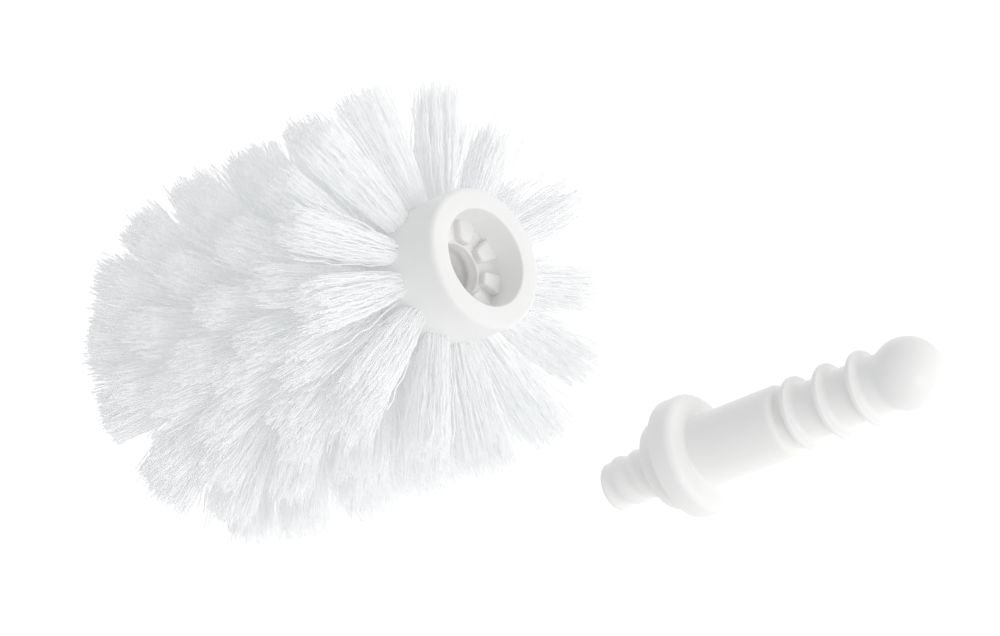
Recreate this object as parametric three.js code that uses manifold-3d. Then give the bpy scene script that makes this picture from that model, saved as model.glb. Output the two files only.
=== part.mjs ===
// A replacement toilet brush head and its loose handle adapter, lying side by side on a flat surface.
//
// Millimetres, +Z up. The head lies on its bristles with its axis level, along X, and its socket faces +X.
// The adapter lies beside it on the rim of its flange and on its ball. The origin is on the surface,
// in the middle of the footprint of the two.
import * as THREE from "three";
import { mergeVertices } from "three/addons/utils/BufferGeometryUtils.js";
import Module from "manifold-3d";

const wasm = await Module();
wasm.setup();

// ---- driving dimensions, in millimetres and degrees ----
// hub: x runs back from the face of the socket ring, which is at x = 0
const HUB_RADIUS = 15;
const HUB_LENGTH = 87.5;
const HUB_DOME = 11; // length of the rounded far end
const RING_EDGE = 1.2; // rounding of the ring's outer edge
const CUP_EDGE = 0.4; // chamfer round the cup's mouth
const HUB_SIDES = 40;
const CUP_RADIUS = 10.3;
const CUP_DEPTH = 8.4;
const BORE_RADIUS = 5.5;
const BORE_DEPTH = 32;
const LUGS = 8;
const LUG_TOP = 6.5; // depth of the lugs' tops below the ring face
const LUG_INNER_RADIUS = 5.8;
const LUG_INNER_WIDTH = 2.7;
const LUG_OUTER_WIDTH = 4.7;
const LUG_TURN = 28.4;

// bristles: rows of tufts, every second row turned by half a pitch
const ROWS = 8;
const TUFTS_PER_ROW = 13;
const FIRST_ROOT = -12.5;
const ROOT_PITCH = 8.7;
const FIRST_TIP = -12.3;
const TIP_PITCH = 9.7;
const TUFT_TURN = 21.1; // angle of the first tuft of the first row, from +Y towards +Z
const ROOT_HALF_WIDTH = 2.8;
const MIDDLE_HALF_WIDTH = 4.3;
const MIDDLE_SHARE = 0.45; // where that width is, from root to tip
const TIP_HALF_WIDTH = 5.9;
const ROOT_GAP = 0.5;
const BRUSH_RADIUS = 40;
const ROUNDING_START = -70; // x where the outline of the bristles starts to round in
const ROUNDING_LENGTH = 34.5;

// end tufts: a ring of them round the dome, and one on the axis
const END_TUFTS = 5;
const END_ROOT = { x: -87.2, radius: 9.5, half: 2.3 };
const END_TIP = { x: -97.5, radius: 21.5, half: 7.2 };
const CENTRE_ROOT = { x: -87.9, half: 2.6 };
const CENTRE_TIP = { x: -104, half: 8.5 };

// adapter: s runs from the tip of the threaded stub to the end of the ball
const STUB_LENGTH = 13.3;
const THREAD_RADIUS = 5.4;
const THREAD_DEPTH = 0.65;
const THREAD_PITCH = 4.5;
const THREAD_TURN = 140; // angle of the thread's ridge at the tip
const COLLAR_RADIUS = 9.2;
const FLANGE_START = 17.8;
const FLANGE_END = 23.2;
const FLANGE_RADIUS = 12.3;
const FLANGE_ROUNDING = 1.8;
const SHANK_RADIUS = 7.25;
const SHANK_END = 43.8;
const SHANK_ROUNDING = 1.6;
const NECK_RADIUS = 5.7;
const RIB_RADIUS = 7.55;
const RIB_HALF = 0.65;
const RIB_CORNER = 0.45;
const RIB_FILLET = 1.2; // on each rib's side towards the ball
const RIB_STATIONS = [46.9, 54.5, 62.2];
const BALL_RADIUS = 7.1;
const BALL_CENTRE = 71;
const BALL_START = 122; // angle on the ball, from the adapter's axis, where its round starts
const BALL_NECK = 6.2; // the neck starts to widen this far before the ball's centre
const MOULDING_EDGE = 0.5; // chamfer of the collar and of the flange's near rim
const ADAPTER_SIDES = 24;

// where the adapter lies, measured from the middle of the ring face
const ADAPTER_AHEAD = 2;
const ADAPTER_ASIDE = -46.8;
const ADAPTER_YAW = 3.6;

const rad = THREE.MathUtils.degToRad;

// ---- materials ----
const plastic = () =>
  new THREE.MeshStandardMaterial({ color: 0xf1f0ec, roughness: 0.38, metalness: 0 });
const bristle = () =>
  new THREE.MeshStandardMaterial({ color: 0xf4f6f8, roughness: 0.6, metalness: 0 });

// ---- solids ----
// A closed geometry as a manifold solid, for joining and cutting.
function solid(geometry) {
  const bare = geometry.clone();
  bare.deleteAttribute("normal");
  bare.deleteAttribute("uv");
  const merged = mergeVertices(bare, 1e-4);
  return new wasm.Manifold(
    new wasm.Mesh({
      numProp: 3,
      vertProperties: new Float32Array(merged.attributes.position.array),
      triVerts: new Uint32Array(merged.index.array),
    }),
  );
}

// A manifold solid as a geometry.
function geometryOf(shape) {
  const mesh = shape.getMesh();
  const geometry = new THREE.BufferGeometry();
  geometry.setAttribute("position", new THREE.BufferAttribute(mesh.vertProperties, 3));
  geometry.setIndex(new THREE.BufferAttribute(mesh.triVerts, 1));
  geometry.computeVertexNormals();
  return geometry;
}

// A solid turned from a profile of [station, radius] points, with its axis along +X.
function turned(profile, sides) {
  const points = profile.map(([station, radius]) => new THREE.Vector2(radius, station));
  return new THREE.LatheGeometry(points, sides).rotateZ(-Math.PI / 2);
}

// Points of a round stretch of a profile: centre, radius, and the angles it runs between.
function arc(station, radius, r, from, to, steps) {
  return Array.from({ length: steps + 1 }, (_, i) => {
    const a = rad(from + ((to - from) * i) / steps);
    return [station + r * Math.cos(a), radius + r * Math.sin(a)];
  });
}

// A closed solid skinned over rings of points: the first and the last ring are capped.
function skinned(rings) {
  const count = rings[0].length;
  const middle = (ring) => {
    const sum = ring.reduce((total, p) => total.add(p), new THREE.Vector3());
    return sum.divideScalar(count);
  };
  const points = [...rings.flat(), middle(rings[0]), middle(rings.at(-1))];
  const faces = [];
  for (let level = 0; level + 1 < rings.length; level++)
    for (let i = 0; i < count; i++) {
      const a = level * count + i;
      const b = level * count + ((i + 1) % count);
      faces.push(a, b, b + count, a, b + count, a + count);
    }
  const last = (rings.length - 1) * count;
  for (let i = 0; i < count; i++) {
    const next = (i + 1) % count;
    faces.push(rings.length * count, next, i);
    faces.push(rings.length * count + 1, last + i, last + next);
  }
  const geometry = new THREE.BufferGeometry().setFromPoints(points);
  geometry.setIndex(faces);
  geometry.computeVertexNormals();
  return geometry;
}

// ---- hub: a moulded barrel with a cup, lugs on the cup's floor and a threaded bore ----
function hub() {
  const domeBase = HUB_DOME - HUB_LENGTH;
  const steps = 4;
  const dome = Array.from({ length: steps + 1 }, (_, i) => {
    const a = rad(90 - (90 * i) / steps);
    return [domeBase - HUB_DOME * Math.cos(a), HUB_RADIUS * Math.sin(a)];
  }).reverse();
  dome[0][1] = 0;
  const body = turned(
    [
      ...dome,
      ...arc(-RING_EDGE, HUB_RADIUS - RING_EDGE, RING_EDGE, 90, 0, 3),
      [0, CUP_RADIUS + CUP_EDGE],
      [-CUP_EDGE, CUP_RADIUS],
      [-CUP_DEPTH, CUP_RADIUS],
      [-CUP_DEPTH, BORE_RADIUS],
      [-BORE_DEPTH, BORE_RADIUS],
      [-BORE_DEPTH, 0],
    ],
    HUB_SIDES,
  );
  let shape = solid(body);
  const sunk = 0.5; // how far a lug reaches into the wall behind it and the floor it stands on
  const outerRadius = CUP_RADIUS + sunk;
  const outline = new THREE.Shape([
    new THREE.Vector2(LUG_INNER_RADIUS, -LUG_INNER_WIDTH / 2),
    new THREE.Vector2(outerRadius, -LUG_OUTER_WIDTH / 2),
    new THREE.Vector2(outerRadius, LUG_OUTER_WIDTH / 2),
    new THREE.Vector2(LUG_INNER_RADIUS, LUG_INNER_WIDTH / 2),
  ]);
  const depth = CUP_DEPTH - LUG_TOP + sunk;
  for (let i = 0; i < LUGS; i++) {
    const lug = new THREE.ExtrudeGeometry(outline, { depth, bevelEnabled: false });
    lug.rotateZ(rad(LUG_TURN + (360 / LUGS) * i));
    lug.rotateY(Math.PI / 2);
    lug.translate(-CUP_DEPTH - sunk, 0, 0);
    shape = shape.add(solid(lug));
  }
  return geometryOf(shape);
}

// ---- bristles ----
// The radius of the brush's outline at x.
function outlineRadius(x) {
  const back = Math.max(0, ROUNDING_START - x) / ROUNDING_LENGTH;
  return BRUSH_RADIUS * Math.sqrt(Math.max(0, 1 - back * back));
}

// A point on the cylinder of that radius round the head's axis.
function onCylinder(x, radius, angle) {
  return new THREE.Vector3(x, radius * Math.cos(angle), radius * Math.sin(angle));
}

// An oval ring round two tufts, one in a row and the next one half a pitch on in the row behind it.
// The ends are given as [x, radius, angle], and each tuft is round, with that half width.
function ovalRing(front, back, half) {
  const halfTurn = 5; // points round each end
  const mean = (front[1] + back[1]) / 2;
  const along = new THREE.Vector2(back[0] - front[0], mean * (back[2] - front[2])).normalize();
  const across = new THREE.Vector2(-along.y, along.x);
  const ring = [];
  for (const [end, sign] of [[back, 1], [front, -1]])
    for (let i = 0; i < halfTurn; i++) {
      const a = rad(90 - (180 * i) / (halfTurn - 1));
      const out = sign * half * Math.cos(a);
      const side = sign * half * Math.sin(a);
      const x = end[0] + out * along.x + side * across.x;
      const angle = end[2] + (out * along.y + side * across.y) / end[1];
      ring.push(onCylinder(x, end[1], angle));
    }
  return ring;
}

// Two neighbouring tufts as one bundle, from their roots in the hub to their flared, cut tips.
function tuftPair(row, place) {
  const pitch = rad(360 / TUFTS_PER_ROW);
  const angle = rad(TUFT_TURN) + pitch * place;
  const at = (share, radiusOf) =>
    [row, row + 1].map((r, i) => {
      const root = FIRST_ROOT - ROOT_PITCH * r;
      const tip = FIRST_TIP - TIP_PITCH * r;
      const x = root + (tip - root) * share;
      return [x, radiusOf(tip), angle + (pitch / 2) * i];
    });
  const start = HUB_RADIUS + ROOT_GAP;
  const rings = [
    [0, ROOT_HALF_WIDTH],
    [MIDDLE_SHARE, MIDDLE_HALF_WIDTH],
    [1, TIP_HALF_WIDTH],
  ].map(([share, half]) => {
    const ends = at(share, (tip) => start + (outlineRadius(tip) - start) * share);
    return ovalRing(ends[0], ends[1], half);
  });
  return skinned(rings);
}

// A round tuft that leans back from the dome: root and tip are { x, radius, half }.
function endTuft(root, tip, angle) {
  const sides = 10;
  const from = onCylinder(root.x, root.radius, angle);
  const to = onCylinder(tip.x, tip.radius, angle);
  const axis = to.clone().sub(from).normalize();
  const side = new THREE.Vector3(0, -Math.sin(angle), Math.cos(angle));
  const up = new THREE.Vector3().crossVectors(axis, side);
  const rings = [0, 0.5, 1].map((share) => {
    const centre = from.clone().lerp(to, share);
    const half = root.half + (tip.half - root.half) * share;
    return Array.from({ length: sides }, (_, i) => {
      const a = (2 * Math.PI * i) / sides;
      return centre
        .clone()
        .addScaledVector(side, half * Math.cos(a))
        .addScaledVector(up, half * Math.sin(a));
    });
  });
  return skinned(rings);
}

// ---- adapter: threaded stub, collar, flange, shank, three ribs and a ball, one moulding ----
// The stub's round thread, as a skin whose radius follows a helix.
function threadedStub() {
  const sides = 20;
  const levels = 24;
  const sunk = 1; // how far the stub reaches into the collar
  const chamfer = 0.3;
  const rings = [];
  for (let level = 0; level <= levels; level++) {
    const s = ((STUB_LENGTH + sunk) * level) / levels;
    const tipCut = Math.max(0, chamfer - s);
    rings.push(
      Array.from({ length: sides }, (_, i) => {
        const a = (2 * Math.PI * i) / sides;
        const wave = (1 + Math.cos((2 * Math.PI * s) / THREAD_PITCH - a + rad(THREAD_TURN))) / 2;
        const r = THREAD_RADIUS - THREAD_DEPTH * (1 - wave) - tipCut;
        return new THREE.Vector3(s, r * Math.cos(a), r * Math.sin(a));
      }),
    );
  }
  return skinned(rings);
}

function adapterProfile() {
  const ribs = RIB_STATIONS.flatMap((station) => [
    [station - RIB_HALF, NECK_RADIUS],
    ...arc(station - RIB_HALF + RIB_CORNER, RIB_RADIUS - RIB_CORNER, RIB_CORNER, 180, 90, 3),
    ...arc(station + RIB_HALF - RIB_CORNER, RIB_RADIUS - RIB_CORNER, RIB_CORNER, 90, 0, 3),
    ...arc(station + RIB_HALF + RIB_FILLET, NECK_RADIUS + RIB_FILLET, RIB_FILLET, 180, 270, 3),
  ]);
  return [
    [STUB_LENGTH, 0],
    [STUB_LENGTH, COLLAR_RADIUS - MOULDING_EDGE],
    [STUB_LENGTH + MOULDING_EDGE, COLLAR_RADIUS],
    [FLANGE_START, COLLAR_RADIUS],
    [FLANGE_START, FLANGE_RADIUS - MOULDING_EDGE],
    [FLANGE_START + MOULDING_EDGE, FLANGE_RADIUS],
    ...arc(FLANGE_END - FLANGE_ROUNDING, FLANGE_RADIUS - FLANGE_ROUNDING, FLANGE_ROUNDING, 90, 0, 4),
    [FLANGE_END, SHANK_RADIUS],
    ...arc(SHANK_END - SHANK_ROUNDING, SHANK_RADIUS - SHANK_ROUNDING, SHANK_ROUNDING, 90, 0, 3),
    ...ribs,
    [BALL_CENTRE - BALL_NECK, NECK_RADIUS],
    ...arc(BALL_CENTRE, 0, BALL_RADIUS, BALL_START, 0, 8),
  ];
}

function adapter() {
  const profile = adapterProfile();
  profile.at(-1)[1] = 0;
  return geometryOf(solid(turned(profile, ADAPTER_SIDES)).add(solid(threadedStub())));
}

// The adapter's place: it lies on the flange's rim and on the ball, so its axis dips towards the ball.
function placeAdapter(mesh) {
  const contact = FLANGE_END - FLANGE_ROUNDING;
  const span = BALL_CENTRE - contact;
  let dip = 0;
  for (let i = 0; i < 20; i++)
    dip = Math.asin((FLANGE_RADIUS * Math.cos(dip) - BALL_RADIUS) / span);
  mesh.rotation.set(0, dip, rad(ADAPTER_YAW), "ZYX");
  const tipHeight = BALL_RADIUS + BALL_CENTRE * Math.sin(dip);
  mesh.position.set(ADAPTER_AHEAD, ADAPTER_ASIDE, tipHeight);
}

// ---- assembly ----
function named(name, geometry, material) {
  const mesh = new THREE.Mesh(geometry, material);
  mesh.name = name;
  return mesh;
}

const two = (number) => String(number).padStart(2, "0");

const head = new THREE.Group();
head.add(named("hub", hub(), plastic()));
for (let row = 0; row < ROWS; row += 2)
  for (let place = 0; place < TUFTS_PER_ROW; place++) {
    const name = `tufts_row_${row + 1}_${row + 2}_${two(place + 1)}`;
    head.add(named(name, tuftPair(row, place), bristle()));
  }
for (let i = 0; i < END_TUFTS; i++) {
  const angle = rad(TUFT_TURN + (360 / END_TUFTS) * i);
  head.add(named(`tuft_end_${two(i + 1)}`, endTuft(END_ROOT, END_TIP, angle), bristle()));
}
const centreRoot = { ...CENTRE_ROOT, radius: 0 };
const centreTip = { ...CENTRE_TIP, radius: 0 };
head.add(named("tuft_end_centre", endTuft(centreRoot, centreTip, 0), bristle()));
head.position.z = BRUSH_RADIUS;

const adapterMesh = named("adapter", adapter(), plastic());
placeAdapter(adapterMesh);

const group = new THREE.Group();
group.add(head, adapterMesh);
group.updateMatrixWorld(true);
const box = new THREE.Box3().setFromObject(group, true);
const middle = box.getCenter(new THREE.Vector3());
group.position.set(-middle.x, -middle.y, 0);

export default group;
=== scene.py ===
import math
import random

import bmesh
import bpy
from mathutils import Matrix, Vector


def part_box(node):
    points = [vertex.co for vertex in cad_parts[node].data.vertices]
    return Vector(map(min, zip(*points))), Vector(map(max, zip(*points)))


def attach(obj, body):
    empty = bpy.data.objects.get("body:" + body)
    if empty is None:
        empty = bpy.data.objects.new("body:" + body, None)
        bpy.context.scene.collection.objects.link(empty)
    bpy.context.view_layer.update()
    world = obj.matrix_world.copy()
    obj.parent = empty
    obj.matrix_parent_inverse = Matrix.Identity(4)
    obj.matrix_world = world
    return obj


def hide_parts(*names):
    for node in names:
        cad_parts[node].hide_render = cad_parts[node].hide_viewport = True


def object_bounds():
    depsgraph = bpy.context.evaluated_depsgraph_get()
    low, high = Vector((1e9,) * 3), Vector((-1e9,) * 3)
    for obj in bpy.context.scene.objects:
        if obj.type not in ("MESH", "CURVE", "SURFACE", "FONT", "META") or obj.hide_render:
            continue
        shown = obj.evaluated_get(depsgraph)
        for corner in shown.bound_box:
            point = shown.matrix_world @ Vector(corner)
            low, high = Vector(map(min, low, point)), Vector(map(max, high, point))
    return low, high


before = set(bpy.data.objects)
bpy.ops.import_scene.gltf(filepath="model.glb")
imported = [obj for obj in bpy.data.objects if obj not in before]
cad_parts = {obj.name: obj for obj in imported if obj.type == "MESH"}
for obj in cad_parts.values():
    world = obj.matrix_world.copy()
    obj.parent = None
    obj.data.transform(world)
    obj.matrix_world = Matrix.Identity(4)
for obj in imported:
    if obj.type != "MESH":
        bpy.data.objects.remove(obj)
cad_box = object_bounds()


# ---- Camera, floor and lights ----
# A long lens looks down at the socket, rolled so that the head runs away to the upper left.
# The floor is a pale sheet, lit evenly, and a soft lamp shines from low at the front.
hub_low, hub_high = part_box("hub")
head_axis = Vector((0, (hub_low.y + hub_high.y) / 2, (hub_low.z + hub_high.z) / 2))
ring_face = hub_high.x
floor_under_ring = Vector((ring_face, head_axis.y, 0))
camera_offset = Vector((0.369595, -0.156399, 0.428818))
view_forward = Vector((-0.664463, 0.258239, -0.701286)).normalized()
view_up = Vector((0.283276, 0.955404, 0.083412))
view_right = view_forward.cross(view_up).normalized()
view_up = view_right.cross(view_forward)
camera_data = bpy.data.cameras.new("camera")
camera_data.lens = 100
camera_data.sensor_width = 36
camera_data.clip_start = 0.01
camera_data.clip_end = 20
camera = bpy.data.objects.new("camera", camera_data)
bpy.context.scene.collection.objects.link(camera)
camera_turn = Matrix((view_right, view_up, -view_forward)).transposed().to_4x4()
camera.matrix_world = Matrix.Translation(floor_under_ring + camera_offset) @ camera_turn
bpy.context.scene.camera = camera

floor_radius = 2.5
floor_mesh = bmesh.new()
bmesh.ops.create_circle(floor_mesh, cap_ends=True, segments=96, radius=floor_radius)
floor_data = bpy.data.meshes.new("floor")
floor_mesh.to_mesh(floor_data)
floor_mesh.free()
floor = bpy.data.objects.new("floor", floor_data)
bpy.context.scene.collection.objects.link(floor)
paper = bpy.data.materials.new("paper")
paper.use_nodes = True
paper_shader = paper.node_tree.nodes["Principled BSDF"]
paper_shader.inputs["Base Color"].default_value = (0.3, 0.3, 0.3, 1)
paper_shader.inputs["Roughness"].default_value = 0.9
paper_shader.inputs["Specular IOR Level"].default_value = 0.1
paper_shader.inputs["Emission Color"].default_value = (1, 1, 1, 1)
paper_shader.inputs["Emission Strength"].default_value = 0.84
floor_data.materials.append(paper)

studio = bpy.data.worlds.new("studio")
studio.use_nodes = True
studio.node_tree.nodes["Background"].inputs["Color"].default_value = (0.98, 0.99, 1.0, 1)
studio.node_tree.nodes["Background"].inputs["Strength"].default_value = 0.69
bpy.context.scene.world = studio
# light passes between white filaments many times before it leaves a tuft
bpy.context.scene.cycles.diffuse_bounces = 12
bpy.context.scene.cycles.max_bounces = 16
bpy.context.scene.view_settings.view_transform = "Standard"

lamp_offset = Vector((1.1, -0.8, 0.24))
lamp_data = bpy.data.lights.new("key", "AREA")
lamp_data.shape = "DISK"
lamp_data.size = 0.9
lamp_data.energy = 5.0
lamp_data.color = (1.0, 0.995, 0.985)
lamp = bpy.data.objects.new("key", lamp_data)
bpy.context.scene.collection.objects.link(lamp)
lamp_turn = lamp_offset.to_track_quat("Z", "Y").to_matrix().to_4x4()
lamp.matrix_world = Matrix.Translation((cad_box[0] + cad_box[1]) / 2 + lamp_offset) @ lamp_turn


# ---- Hub ----
# A barrel moulded in white polypropylene, with a cup in its open end. Eight lugs stand on the
# floor of the cup, round a threaded bore. Its far end is rounded, and the tufts are punched into it.
hub_radius = (hub_high.y - hub_low.y) / 2
hub_length = hub_high.x - hub_low.x
dome_length = 0.011
dome_steps = 12
ring_edge = 0.0012
cup_radius = 0.0103
cup_depth = 0.0084
cup_fillet = 0.0006
mouth_edge = 0.0004  # rounding of the mouths of the cup and of the bore
bore_radius = 0.0055
bore_depth = 0.032
thread_start = cup_depth + 0.001
thread_steps = 60
thread_pitch = 0.0045
thread_depth = 0.00065
thread_run_in = 0.002
steps_round = 96
lugs = 8
lug_turn = 28.4
lug_top = 0.0065
lug_sunk = 0.0004  # how far a lug reaches into the floor of the cup
lug_inner, lug_outer = 0.0058, cup_radius + 0.0003
lug_inner_width, lug_outer_width = 0.0027, 0.0047
lug_edge = 0.00045


def object_of(name, mesh, materials):
    data = bpy.data.meshes.new(name)
    mesh.to_mesh(data)
    mesh.free()
    for material in materials:
        data.materials.append(material)
    piece = bpy.data.objects.new(name, data)
    bpy.context.scene.collection.objects.link(piece)
    return piece


def arc_points(centre, radius, start, stop, steps):
    """Points of a round stretch of a profile, as (station, distance from the axis)."""
    points = []
    for step in range(steps + 1):
        angle = math.radians(start + (stop - start) * step / steps)
        points.append((centre[0] + radius * math.cos(angle), centre[1] + radius * math.sin(angle)))
    return points


def turned(profile):
    """A mesh spun from a profile of (station, distance from the axis) round the X axis."""
    mesh = bmesh.new()
    line = [mesh.verts.new((station, 0, distance)) for station, distance in profile]
    edges = [mesh.edges.new(pair) for pair in zip(line, line[1:])]
    bmesh.ops.spin(
        mesh,
        geom=line + edges,
        cent=(0, 0, 0),
        axis=(1, 0, 0),
        angle=2 * math.pi,
        steps=steps_round,
        use_merge=True,
    )
    bmesh.ops.remove_doubles(mesh, verts=mesh.verts, dist=1e-6)
    bmesh.ops.recalc_face_normals(mesh, faces=mesh.faces)
    for face in mesh.faces:
        face.smooth = True
    return mesh


def resin_variation():
    """Node group: the slow clouding and the fine grain of polypropylene, both from 0 to 1."""
    group = bpy.data.node_groups.new("resin_variation", "ShaderNodeTree")
    for wanted, usual in (("Cloud scale", 60.0), ("Grain scale", 1500.0), ("Grain detail", 2.0)):
        socket = group.interface.new_socket(wanted, in_out="INPUT", socket_type="NodeSocketFloat")
        socket.default_value = usual
    for made in ("Cloud", "Grain"):
        group.interface.new_socket(made, in_out="OUTPUT", socket_type="NodeSocketFloat")
    way_in = group.nodes.new("NodeGroupInput")
    way_out = group.nodes.new("NodeGroupOutput")
    place = group.nodes.new("ShaderNodeTexCoord")
    cloud = group.nodes.new("ShaderNodeTexNoise")
    cloud.inputs["Detail"].default_value = 3
    grain = group.nodes.new("ShaderNodeTexNoise")
    group.links.new(place.outputs["Object"], cloud.inputs["Vector"])
    group.links.new(place.outputs["Object"], grain.inputs["Vector"])
    group.links.new(way_in.outputs["Cloud scale"], cloud.inputs["Scale"])
    group.links.new(way_in.outputs["Grain scale"], grain.inputs["Scale"])
    group.links.new(way_in.outputs["Grain detail"], grain.inputs["Detail"])
    group.links.new(cloud.outputs["Fac"], way_out.inputs["Cloud"])
    group.links.new(grain.outputs["Fac"], way_out.inputs["Grain"])
    return group


variation = resin_variation()


def blend_of(material, kind, low, high, factor):
    """The output of a Mix node from low to high, RGBA or FLOAT, by a factor socket."""
    mix = material.node_tree.nodes.new("ShaderNodeMix")
    mix.data_type = kind
    mix.inputs["A"].default_value = low
    mix.inputs["B"].default_value = high
    material.node_tree.links.new(factor, mix.inputs["Factor"])
    return mix.outputs["Result"]


def moulded_plastic(name, dull, clear):
    material = bpy.data.materials.new(name)
    material.use_nodes = True
    nodes = material.node_tree.nodes
    links = material.node_tree.links
    shader = nodes["Principled BSDF"]
    shader.inputs["IOR"].default_value = 1.49
    shader.inputs["Subsurface Weight"].default_value = 0.12
    shader.inputs["Subsurface Radius"].default_value = (0.0012, 0.0011, 0.001)
    shader.inputs["Subsurface Scale"].default_value = 1.0
    resin = nodes.new("ShaderNodeGroup")
    resin.node_tree = variation
    colour = blend_of(material, "RGBA", dull, clear, resin.outputs["Cloud"])
    links.new(colour, shader.inputs["Base Color"])
    gloss = blend_of(material, "FLOAT", 0.30, 0.44, resin.outputs["Grain"])
    links.new(gloss, shader.inputs["Roughness"])
    grain = nodes.new("ShaderNodeBump")
    grain.inputs["Strength"].default_value = 0.3
    grain.inputs["Distance"].default_value = 0.00004
    links.new(resin.outputs["Grain"], grain.inputs["Height"])
    links.new(grain.outputs["Normal"], shader.inputs["Normal"])
    return material


hub_plastic = moulded_plastic("hub_polypropylene", (0.86, 0.856, 0.847, 1), (0.90, 0.896, 0.889, 1))
profile = [(-hub_length, 0)]
for step in range(1, dome_steps + 1):
    angle = math.radians(90 * step / dome_steps)
    back = dome_length * (1 - math.cos(angle)) - hub_length
    profile.append((back, hub_radius * math.sin(angle)))
profile += arc_points((-ring_edge, hub_radius - ring_edge), ring_edge, 90, 0, 6)
profile += arc_points((-mouth_edge, cup_radius + mouth_edge), mouth_edge, 0, -90, 4)
profile += arc_points((cup_fillet - cup_depth, cup_radius - cup_fillet), cup_fillet, 90, 180, 4)
profile += arc_points((-cup_depth - mouth_edge, bore_radius + mouth_edge), mouth_edge, 0, -90, 4)
for step in range(thread_steps + 1):
    depth = thread_start + (bore_depth - thread_start) * step / thread_steps
    profile.append((-depth, bore_radius))
profile.append((-bore_depth, 0))
hub_mesh = turned(profile)
# the coarse round thread stands in from the wall of the bore
for corner in hub_mesh.verts:
    depth = -corner.co.x
    distance = math.hypot(corner.co.y, corner.co.z)
    if depth > thread_start and abs(distance - bore_radius) < 1e-6:
        turned_by = math.atan2(corner.co.z, corner.co.y)
        ridge = (1 + math.cos(2 * math.pi * corner.co.x / thread_pitch - turned_by)) / 2
        run_in = min(1, (depth - thread_start) / thread_run_in)
        scale = 1 - thread_depth * ridge * run_in / bore_radius
        corner.co.y *= scale
        corner.co.z *= scale
for number in range(lugs):
    lug = bmesh.new()
    bmesh.ops.create_cube(lug, size=1)
    for corner in lug.verts:
        outside = corner.co.z > 0
        corner.co.y *= lug_outer_width if outside else lug_inner_width
        corner.co.z = lug_outer if outside else lug_inner
        corner.co.x = -lug_top if corner.co.x > 0 else -cup_depth - lug_sunk
    bmesh.ops.bevel(
        lug,
        geom=lug.edges,
        offset=lug_edge,
        offset_type="OFFSET",
        affect="EDGES",
        segments=3,
        profile=0.5,
        material=-1,
    )
    # the cube's outer end points up, a quarter turn before the first lug's angle
    turn = Matrix.Rotation(math.radians(lug_turn + 360 / lugs * number - 90), 3, "X")
    bmesh.ops.rotate(lug, cent=(0, 0, 0), matrix=turn, verts=lug.verts)
    for face in lug.faces:
        face.smooth = True
    lug_data = bpy.data.meshes.new("lug")
    lug.to_mesh(lug_data)
    lug.free()
    hub_mesh.from_mesh(lug_data)
    bpy.data.meshes.remove(lug_data)
bmesh.ops.translate(hub_mesh, verts=hub_mesh.verts, vec=(ring_face, head_axis.y, head_axis.z))
hub = object_of("hub_moulding", hub_mesh, [hub_plastic])
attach(hub, "head")
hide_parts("hub")


# ---- Bristle tufts on the barrel ----
# Tufts of white crimped polypropylene filament, punched into holes in eight staggered rows of
# thirteen. Each fans out from its hole, and the tips are trimmed to one round outline.
rows = 8
tufts_in_row = 13
first_root = -0.0125
root_pitch = 0.0087
first_tip = -0.0123
tip_pitch = 0.0097
first_turn = math.radians(21.1)
brush_radius = 0.040
rounding_start = -0.070
rounding_length = 0.0345
hole_radius = 0.0028
root_depth = 0.0012
filaments_in_tuft = 195
filament_radius = 0.00016
joints_in_filament = 9
crimp = 0.0003
crimp_step = 2.3  # turn of the crimp's wave from one joint to the next, in radians
bow = 0.12  # how far a filament bows out, as a share of its distance from the tuft's middle
lowest = 0.0003
lean_along, lean_round = 0.0016, 0.0018
tip_spread = (0.0045, 0.0062)
tip_follow = (0.80, 0.92)  # how much a tip's place follows its root's place in the hole
loose_reach = 1.5
stray_share, stray_reach = 0.10, (1.2, 1.9)
short_share, short_by = 0.22, (0.0005, 0.0030)
trim_past, trim_scatter = 0.0003, 0.0009
draw = random.Random(11)


def outline_radius(station):
    back = max(0.0, rounding_start - station) / rounding_length
    return brush_radius * math.sqrt(max(0.0, 1 - back * back))


def about_axis(station, radius, angle):
    """The place at that station and angle round the head's axis, in the frame."""
    return Vector(
        (
            ring_face + station,
            head_axis.y + radius * math.cos(angle),
            head_axis.z + radius * math.sin(angle),
        )
    )


def in_disc(radius):
    reach = radius * math.sqrt(draw.random())
    angle = draw.uniform(0, 2 * math.pi)
    return reach * math.cos(angle), reach * math.sin(angle)


def crimped(root, tip, outward):
    """Points along one filament, from its root to its tip, bowed outward and crimped."""
    along = (tip - root).normalized()
    side = along.orthogonal().normalized()
    side.rotate(Matrix.Rotation(draw.uniform(0, 2 * math.pi), 3, along))
    phase = draw.uniform(0, 2 * math.pi)
    points = []
    for joint in range(joints_in_filament):
        share = joint / (joints_in_filament - 1)
        wave = crimp * math.sin(phase + crimp_step * joint) * min(1, 3 * share)
        points.append(root.lerp(tip, share) + side * wave + outward * (4 * share * (1 - share)))
    return points


def new_bundle(name):
    bundle = bpy.data.curves.new(name, "CURVE")
    bundle.dimensions = "3D"
    bundle.bevel_depth = filament_radius
    bundle.bevel_resolution = 0
    bundle.use_fill_caps = True
    return bundle


def add_filament(bundle, root, tip, outward):
    points = crimped(root, tip, outward)
    strand = bundle.splines.new("POLY")
    strand.points.add(len(points) - 1)
    for knot, point in zip(strand.points, points):
        knot.co = (point.x, point.y, max(point.z, lowest), 1)


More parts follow.
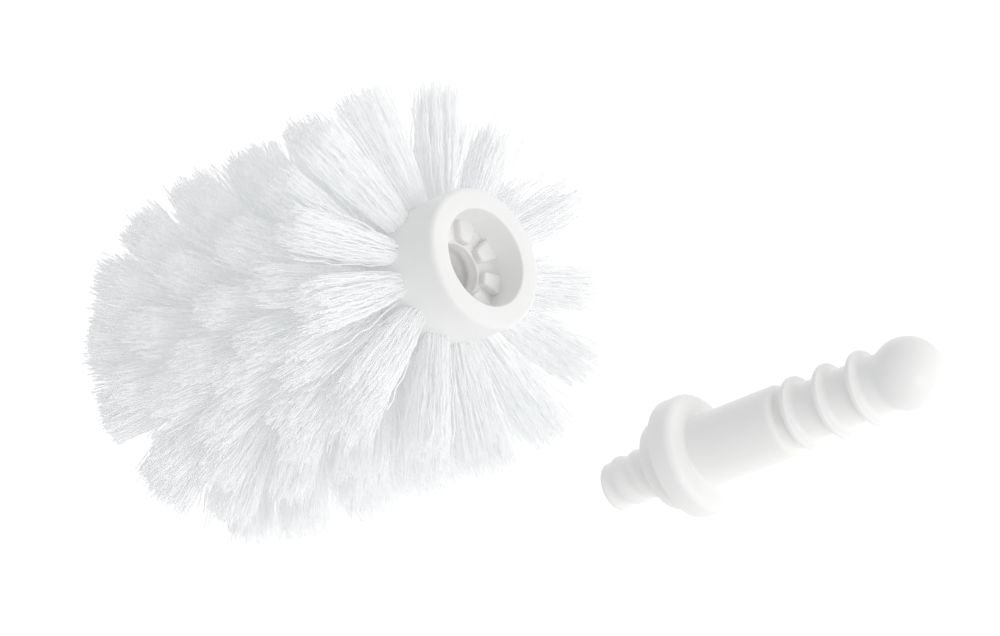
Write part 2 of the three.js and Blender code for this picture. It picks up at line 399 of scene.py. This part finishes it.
def bristle_fibre(name):
    material = bpy.data.materials.new(name)
    material.use_nodes = True
    nodes = material.node_tree.nodes
    links = material.node_tree.links
    shader = nodes["Principled BSDF"]
    shader.inputs["IOR"].default_value = 1.49
    shader.inputs["Specular IOR Level"].default_value = 0.3
    shader.inputs["Subsurface Weight"].default_value = 0.75
    shader.inputs["Subsurface Radius"].default_value = (0.0007, 0.0007, 0.0007)
    shader.inputs["Subsurface Scale"].default_value = 1.0
    # painted light: a faint white glow in every filament lifts the shade between the filaments, in place
    # of light scattered through the translucent tufts
    shader.inputs["Emission Color"].default_value = (1, 1, 1, 1)
    shader.inputs["Emission Strength"].default_value = 0.074
    resin = nodes.new("ShaderNodeGroup")
    resin.node_tree = variation
    resin.inputs["Cloud scale"].default_value = 110
    resin.inputs["Grain scale"].default_value = 2600
    resin.inputs["Grain detail"].default_value = 1
    milky, clear = (0.945, 0.952, 0.96, 1), (0.985, 0.987, 0.99, 1)
    colour = blend_of(material, "RGBA", milky, clear, resin.outputs["Cloud"])
    links.new(colour, shader.inputs["Base Color"])
    gloss = blend_of(material, "FLOAT", 0.45, 0.65, resin.outputs["Grain"])
    links.new(gloss, shader.inputs["Roughness"])
    return material


fibre = bristle_fibre("bristle_polypropylene")


def punch_tuft(bundle, row, angle):
    root_station = first_root - root_pitch * row
    tip_station = first_tip - tip_pitch * row + draw.gauss(0, lean_along)
    lean_side = draw.gauss(0, lean_round)
    spread = draw.uniform(*tip_spread)
    follow = draw.uniform(*tip_follow)
    start_radius = hub_radius - root_depth
    for _ in range(filaments_in_tuft):
        root_x, root_side = in_disc(hole_radius)
        loose_x, loose_side = in_disc(spread)
        tip_x = follow * root_x / hole_radius * spread + (1 - follow) * loose_x * loose_reach
        tip_side = follow * root_side / hole_radius * spread + (1 - follow) * loose_side * loose_reach
        if draw.random() < stray_share:
            stray = draw.uniform(*stray_reach)
            tip_x *= stray
            tip_side *= stray
        root = about_axis(root_station + root_x, start_radius, angle + root_side / hub_radius)
        reach = outline_radius(tip_station + tip_x) + draw.gauss(trim_past, trim_scatter)
        if draw.random() < short_share:
            reach -= draw.uniform(*short_by)
        tip = about_axis(tip_station + tip_x, reach, angle + (tip_side + lean_side) / reach)
        middle_root = about_axis(root_station, start_radius, angle)
        middle_tip = about_axis(tip_station, reach, angle)
        outward = (root + tip - middle_root - middle_tip) / 2
        add_filament(bundle, root, tip, outward * bow)


def finish_bundle(bundle, node):
    piece = bpy.data.objects.new(bundle.name, bundle)
    bpy.context.scene.collection.objects.link(piece)
    bundle.materials.append(fibre)
    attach(piece, "head")
    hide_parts(node)


tuft_angle = 2 * math.pi / tufts_in_row
for row in range(0, rows, 2):
    for place in range(tufts_in_row):
        tail = f"{row + 1}_{row + 2}_{place + 1:02d}"
        bundle = new_bundle(f"bristles_{tail}")
        for step in range(2):
            punch_tuft(bundle, row + step, first_turn + tuft_angle * (place + step / 2))
        finish_bundle(bundle, f"tufts_row_{tail}")


# ---- Bristle tufts on the rounded end ----
# The same tufts, punched into the rounded end of the barrel: a ring of ten, a ring of five behind
# it and one on the axis. They lean back and close the end of the brush. Places are (station, radius).
end_groups = 5
outer_root, outer_tip = (-0.0835, 0.0105), (-0.091, 0.0305)
inner_root, inner_tip = (-0.0868, 0.0055), (-0.101, 0.0160)
middle_root, middle_tip = (-0.0872, 0.0), (-0.1045, 0.0001)
end_spread = 0.0072
end_follow = 0.75
end_trim_past, end_trim_scatter = -0.0004, 0.0005
trim_centre = Vector((ring_face - 0.060, head_axis.y, head_axis.z))
trim_steps = 12


def on_outline(tip):
    """The place where the line from the trim's centre through tip meets the round outline."""
    ray = tip - trim_centre
    scale = 1.0
    for _ in range(trim_steps):
        trial = trim_centre + ray * scale
        back = max(0.0, rounding_start - (trial.x - ring_face)) / rounding_length
        distance = math.hypot(trial.y - head_axis.y, trial.z - head_axis.z)
        scale /= math.hypot(back, distance / brush_radius)
    return trim_centre + ray * scale


def punch_end_tuft(bundle, root_place, tip_place, angle):
    centre_root = about_axis(*root_place, angle)
    centre_tip = about_axis(*tip_place, angle)
    along = (centre_tip - centre_root).normalized()
    side = Vector((0, -math.sin(angle), math.cos(angle)))
    over = along.cross(side).normalized()
    for _ in range(filaments_in_tuft):
        root_a, root_b = in_disc(hole_radius)
        loose_a, loose_b = in_disc(end_spread)
        fan = end_follow * end_spread / hole_radius
        loose = (1 - end_follow) * loose_reach
        tip_a = fan * root_a + loose * loose_a
        tip_b = fan * root_b + loose * loose_b
        root = centre_root + side * root_a + over * root_b
        tip = on_outline(centre_tip + side * tip_a + over * tip_b)
        tip += along * draw.gauss(end_trim_past, end_trim_scatter)
        outward = (root + tip - centre_root - centre_tip) / 2
        add_filament(bundle, root, tip, outward * bow)


for number in range(end_groups):
    bundle = new_bundle(f"bristles_end_{number + 1:02d}")
    sector = first_turn + 2 * math.pi * number / end_groups
    for step in (-1, 1):
        punch_end_tuft(bundle, outer_root, outer_tip, sector + step * math.pi / end_groups / 2)
    punch_end_tuft(bundle, inner_root, inner_tip, sector)
    finish_bundle(bundle, f"tuft_end_{number + 1:02d}")
bundle = new_bundle("bristles_end_middle")
punch_end_tuft(bundle, middle_root, middle_tip, first_turn)
finish_bundle(bundle, "tuft_end_centre")


# ---- Adapter ----
# One moulding in white plastic: a threaded stub, a collar, a flange, a shank, three ribs and a
# ball. It lies beside the head on the rim of its flange and on its ball.
stub_length = 0.0133
stub_face = 0.0042  # radius of the flat end of the stub
stub_edge = 0.0003  # rounding behind it
stub_steps = 44
first_step = 0.00012
thread_radius = 0.0054
thread_turn = math.radians(140)
collar_radius = 0.0092
collar_edge = 0.0005
collar_foot = 0.0012
flange_start, flange_end = 0.0178, 0.0232
flange_radius = 0.0123
flange_edge = 0.0004
flange_foot = 0.0003
flange_rounding = 0.0018
shank_radius = 0.00725
shank_fillet = 0.0006
shank_end = 0.0438
shank_rounding = 0.0016
neck_radius = 0.0057
rib_stations = (0.0469, 0.0545, 0.0622)
rib_radius = 0.00755
rib_half = 0.00065
rib_corner = 0.00045
rib_foot = 0.0003
rib_fillet = 0.0012
ball_radius = 0.0071
ball_centre = 0.071
ball_fillet = 0.003
ball_overlap = 4  # degrees by which the ball's round starts before the fillet's end
adapter_ahead = 0.002
adapter_aside = -0.0468
adapter_yaw = math.radians(3.6)

adapter_plastic = moulded_plastic(
    "adapter_polypropylene", (0.89, 0.885, 0.872, 1), (0.925, 0.922, 0.912, 1)
)
profile = [(0, 0), (0, 0.0026), (0, stub_face)]
for step in range(stub_steps + 1):
    profile.append((first_step + (stub_length - first_step) * step / stub_steps, thread_radius))
profile.append((stub_length, collar_radius - collar_foot))
profile += arc_points((stub_length + collar_edge, collar_radius - collar_edge), collar_edge, 180, 90, 4)
profile.append((flange_start - flange_foot, collar_radius))
profile.append((flange_start, collar_radius + flange_foot))
profile += arc_points((flange_start + flange_edge, flange_radius - flange_edge), flange_edge, 180, 90, 4)
profile += arc_points(
    (flange_end - flange_rounding, flange_radius - flange_rounding), flange_rounding, 90, 0, 10
)
profile += arc_points((flange_end + shank_fillet, shank_radius + shank_fillet), shank_fillet, 180, 270, 5)
profile += arc_points(
    (shank_end - shank_rounding, shank_radius - shank_rounding), shank_rounding, 90, 10, 8
)
foot_height = neck_radius + rib_foot
corner_height = rib_radius - rib_corner
fillet_height = neck_radius + rib_fillet
for station in rib_stations:
    near, far = station - rib_half, station + rib_half
    profile += arc_points((near - rib_foot, foot_height), rib_foot, 270, 360, 4)
    profile += arc_points((near + rib_corner, corner_height), rib_corner, 180, 90, 8)
    profile += arc_points((far - rib_corner, corner_height), rib_corner, 90, 0, 8)
    profile += arc_points((far + rib_fillet, fillet_height), rib_fillet, 180, 270, 8)
# the neck runs into the ball in a round fillet that touches both
blend_height = neck_radius + ball_fillet
blend_along = math.sqrt((ball_radius + ball_fillet) ** 2 - blend_height**2)
meeting = math.degrees(math.atan2(blend_along, blend_height))
profile += arc_points((ball_centre - blend_along, blend_height), ball_fillet, 270, 270 + meeting, 6)
profile += arc_points((ball_centre, 0), ball_radius, 90 + meeting - ball_overlap, 0, 24)
profile[-1] = (ball_centre + ball_radius, 0)

adapter_mesh = turned(profile)
# the stub's coarse round thread, sunk in between the crests
for corner in adapter_mesh.verts:
    station = corner.co.x
    distance = math.hypot(corner.co.y, corner.co.z)
    if 0.0001 < station < stub_length + 0.0001 and abs(distance - thread_radius) < 1e-6:
        turned_by = math.atan2(corner.co.z, corner.co.y)
        ridge = (1 + math.cos(2 * math.pi * station / thread_pitch - turned_by + thread_turn)) / 2
        tip_cut = max(0, stub_edge - station)
        scale = (thread_radius - thread_depth * (1 - ridge) - tip_cut) / distance
        corner.co.y *= scale
        corner.co.z *= scale
# it dips towards the ball, until the flange's rim and the ball both touch the floor
span = ball_centre - (flange_end - flange_rounding)
dip = 0.0
for _ in range(20):
    dip = math.asin((flange_radius * math.cos(dip) - ball_radius) / span)
tip_height = ball_radius + ball_centre * math.sin(dip)
lay = Matrix.Rotation(adapter_yaw, 4, "Z") @ Matrix.Rotation(dip, 4, "Y")
stub_tip = Vector((ring_face + adapter_ahead, head_axis.y + adapter_aside, tip_height))
adapter_mesh.transform(Matrix.Translation(stub_tip) @ lay)
adapter = object_of("adapter_moulding", adapter_mesh, [adapter_plastic])
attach(adapter, "adapter")
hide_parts("adapter")
